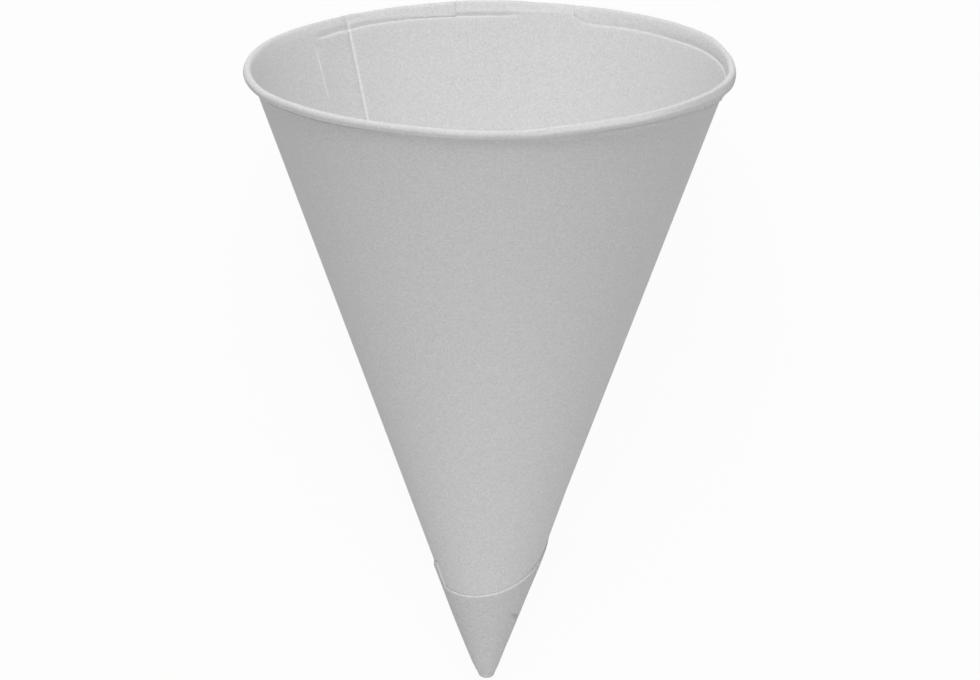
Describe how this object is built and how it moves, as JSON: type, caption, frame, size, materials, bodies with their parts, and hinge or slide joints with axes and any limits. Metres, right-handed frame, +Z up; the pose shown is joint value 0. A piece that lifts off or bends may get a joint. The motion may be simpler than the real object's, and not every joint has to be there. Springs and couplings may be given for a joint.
{
  "type": "cone paper cup",
  "caption": "Conical disposable paper cup with a rolled rim, a glued overlap down its side and a closed wrapped point.",
  "frame": {"origin": "on the floor, under the middle of the lying cup's box", "axes": "+Z up, +Y towards the mouth, +X to the right as one looks down at the side with the mouth away; the cup lies on its rim and point, its axis rising 20.2 degrees from -Y to +Y"},
  "size_m": [0.073, 0.1032, 0.0684],
  "materials": {
    "paper": "uncoated white paper with a fine fibre grain"
  },
  "bodies": {
    "root": {"cone_cup": "paper"}
  },
  "joints": []
}
